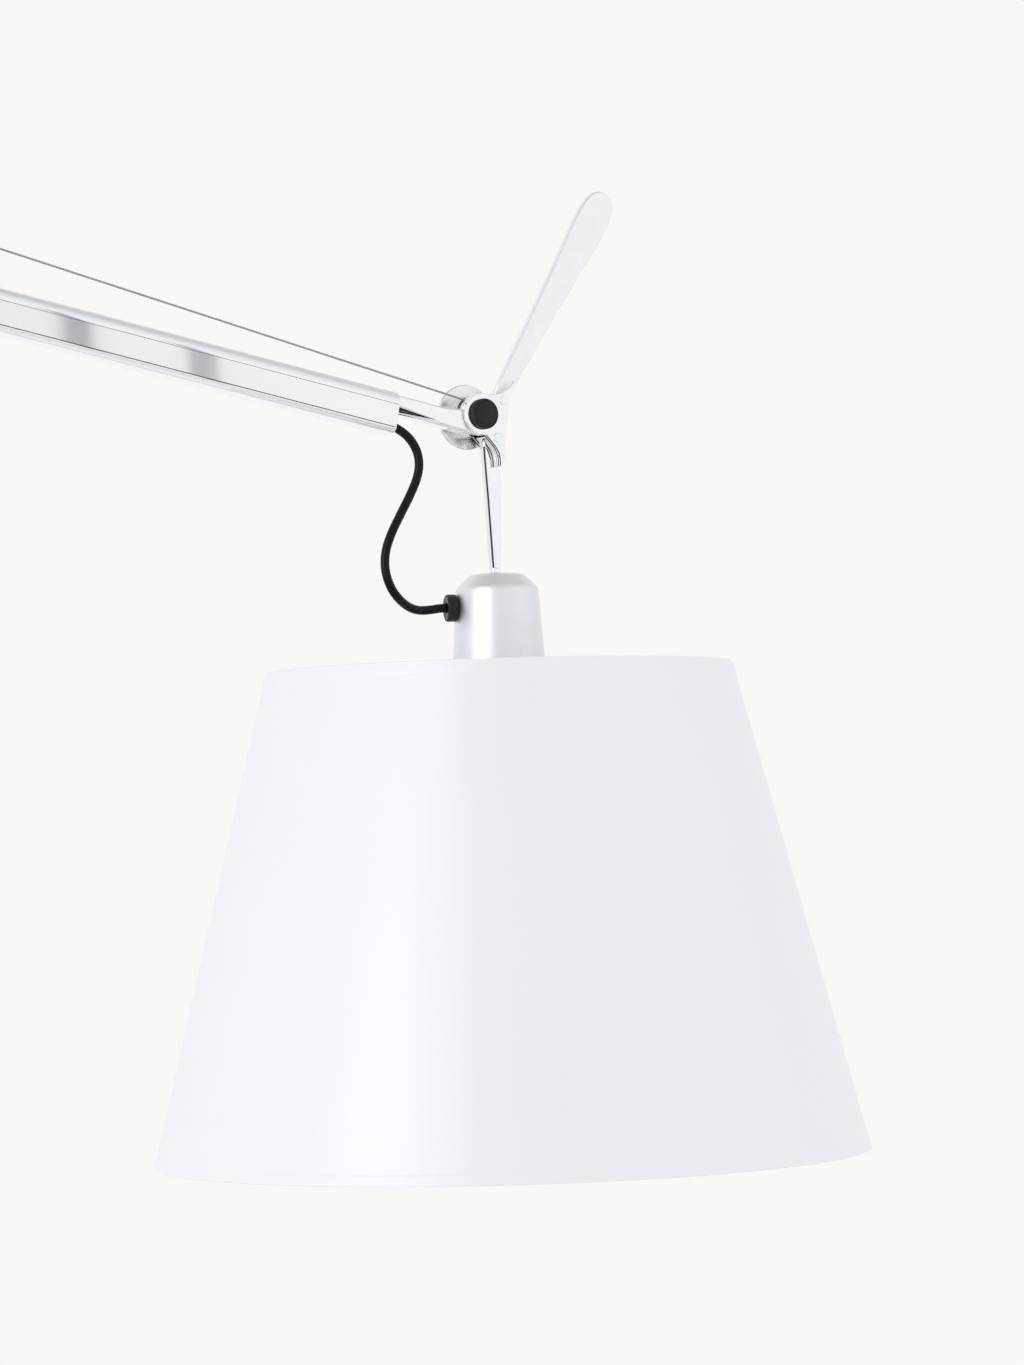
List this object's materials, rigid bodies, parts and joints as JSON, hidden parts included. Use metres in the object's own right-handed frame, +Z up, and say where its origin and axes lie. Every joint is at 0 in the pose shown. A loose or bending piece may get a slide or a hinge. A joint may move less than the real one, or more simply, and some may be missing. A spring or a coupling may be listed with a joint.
{
  "type": "adjustable arm floor lamp",
  "caption": "Floor lamp with a weighted disc base, folding spring-balanced arms with outside cables, and a tilting head with a tapered fabric shade.",
  "frame": {"origin": "on the floor, under the middle of the base", "axes": "+Z up, +X from the stem towards the shade, +Y to the knobs' side"},
  "size_m": [1.1434, 0.4166, 2.3594],
  "materials": {
    "polished_aluminium": "cast and polished to a mirror",
    "anodised_aluminium": "extruded, brushed along its length, bright anodised",
    "satin_aluminium": "turned or spun, satin anodised",
    "steel": "bright steel",
    "dark_steel": "oiled steel",
    "cable_steel": "stranded steel cable",
    "brass": "turned brass",
    "black_plastic": "moulded, satin",
    "black_flex": "smooth round flex, glossy",
    "foot_rubber": "ribbed rubber",
    "holder_plastic": "white heat-resistant moulding",
    "opal_glass": "opal",
    "shade_fabric": "white satin weave on a stiff liner"
  },
  "bodies": {
    "base": {"foot_pad": "foot_rubber", "base_weight": "dark_steel", "base_cover": "satin_aluminium", "base_cord_inlet": "black_plastic", "stem_socket": "satin_aluminium", "stem_tube": "anodised_aluminium", "stem_plug": "steel", "stem_bolt": "dark_steel", "stem_bush": "brass"},
    "turret": {"turret": "polished_aluminium", "lower_cable_anchor": "steel"},
    "lower_arm": {"lower_arm_tail": "polished_aluminium", "lower_arm_tube": "anodised_aluminium", "lower_arm_neck": "polished_aluminium", "lower_arm_wheel": "steel", "lower_arm_spring": "steel", "lower_arm_cable": "cable_steel", "upper_cable_anchor": "steel", "shoulder_pin": "steel", "shoulder_cap": "black_plastic"},
    "shoulder_knob": {"shoulder_knob": "satin_aluminium"},
    "upper_arm": {"upper_arm_tail": "polished_aluminium", "upper_arm_tube": "anodised_aluminium", "upper_arm_neck": "polished_aluminium", "upper_arm_wheel": "steel", "upper_arm_spring": "steel", "upper_arm_cable": "cable_steel", "elbow_pin": "steel", "elbow_cap": "black_plastic"},
    "elbow_knob": {"elbow_knob": "satin_aluminium"},
    "head": {"bracket_plate_near": "polished_aluminium", "bracket_plate_far": "polished_aluminium", "bracket_core": "polished_aluminium", "handle": "satin_aluminium", "leg": "polished_aluminium", "leg_pin": "steel", "rivet_upper": "steel", "rivet_lower": "steel", "wrist_pin": "steel", "wrist_cap": "black_plastic", "lampholder_cup": "satin_aluminium", "flex_gland": "black_plastic", "lampholder": "holder_plastic", "shade_spider": "steel", "shade_ring_nut": "holder_plastic", "shade": "shade_fabric", "shade_hem_wire": "steel", "bulb_cap": "brass", "bulb_glass": "opal_glass", "flex": "black_flex"},
    "wrist_knob": {"wrist_knob": "satin_aluminium"}
  },
  "joints": [
    {"name": "arm_swivel", "type": "hinge", "parent": "base", "child": "turret", "pos_m": [0, 0, 1.4], "axis": [0, 0, 1], "range_deg": [-170, 170]},
    {"name": "lower_arm_pitch", "type": "hinge", "parent": "turret", "child": "lower_arm", "pos_m": [0, 0, 1.48], "axis": [0, 1, 0], "range_deg": [-15, 60], "deforming": ["lower_arm_cable"]},
    {"name": "shoulder_knob_turn", "type": "hinge", "parent": "lower_arm", "child": "shoulder_knob", "pos_m": [0, 0, 1.48], "axis": [0, 1, 0], "range_deg": [-180, 180]},
    {"name": "elbow", "type": "hinge", "parent": "lower_arm", "child": "upper_arm", "pos_m": [-0.39078, 0, 2.29082], "axis": [0, -1, 0], "range_deg": [-18, 75], "deforming": ["upper_arm_cable"]},
    {"name": "elbow_knob_turn", "type": "hinge", "parent": "upper_arm", "child": "elbow_knob", "pos_m": [-0.39078, 0, 2.29082], "axis": [0, 1, 0], "range_deg": [-180, 180]},
    {"name": "head_tilt", "type": "hinge", "parent": "upper_arm", "child": "head", "pos_m": [0.49948, 0, 2.15828], "axis": [0, 1, 0], "range_deg": [-75, 35], "deforming": ["flex"]},
    {"name": "wrist_knob_turn", "type": "hinge", "parent": "head", "child": "wrist_knob", "pos_m": [0.49948, 0, 2.15828], "axis": [0, 1, 0], "range_deg": [-180, 180]}
  ]
}
